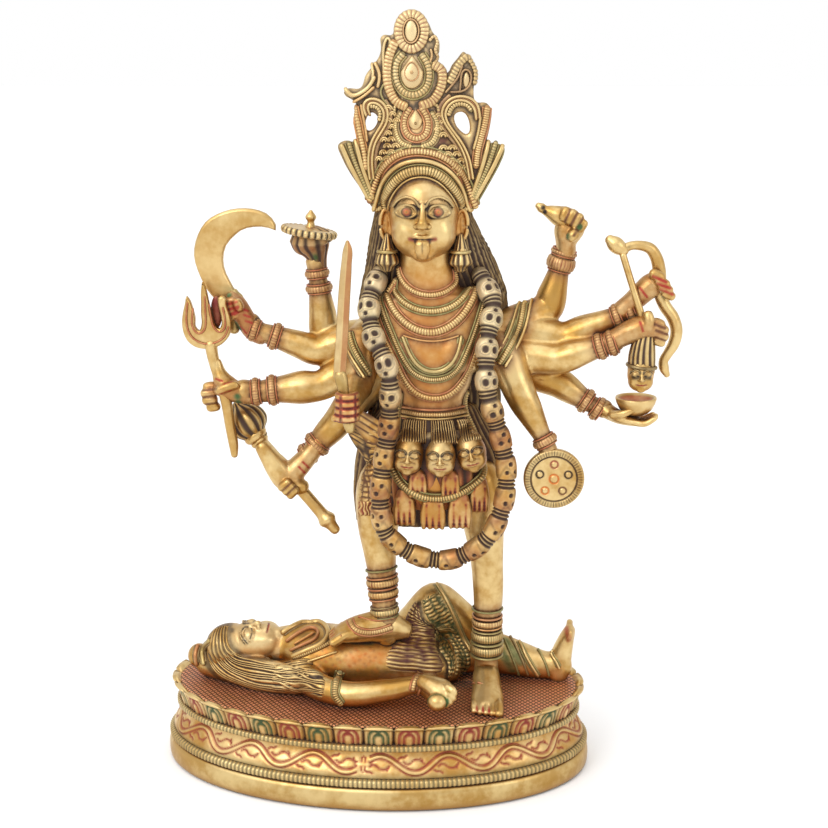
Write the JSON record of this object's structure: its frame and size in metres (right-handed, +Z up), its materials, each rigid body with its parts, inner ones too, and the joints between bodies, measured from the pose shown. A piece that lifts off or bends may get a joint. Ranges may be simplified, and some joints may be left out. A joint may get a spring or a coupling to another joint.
{
  "type": "kali figure",
  "caption": "Cast brass figure group: a many-armed goddess with a tall pierced crown stands on a lying man, on an oval lotus plinth that is hollow below.",
  "frame": {"origin": "on the floor plane, under the middle of the bounding box of the whole group", "axes": "+Z up; -Y is the front, the side the goddess faces; +X is to the right seen from the front"},
  "size_m": [0.2444, 0.125, 0.355],
  "materials": {
    "plinth_brass": "satin cast brass with red-brown and green antique colour rubbed into the carving",
    "figure_brass": "satin cast brass, polished on the high places, with red-brown, green and black antique colour in the carving"
  },
  "bodies": {
    "root": {"pedestal": "plinth_brass", "shiva": "figure_brass", "kali": "figure_brass"}
  },
  "joints": []
}
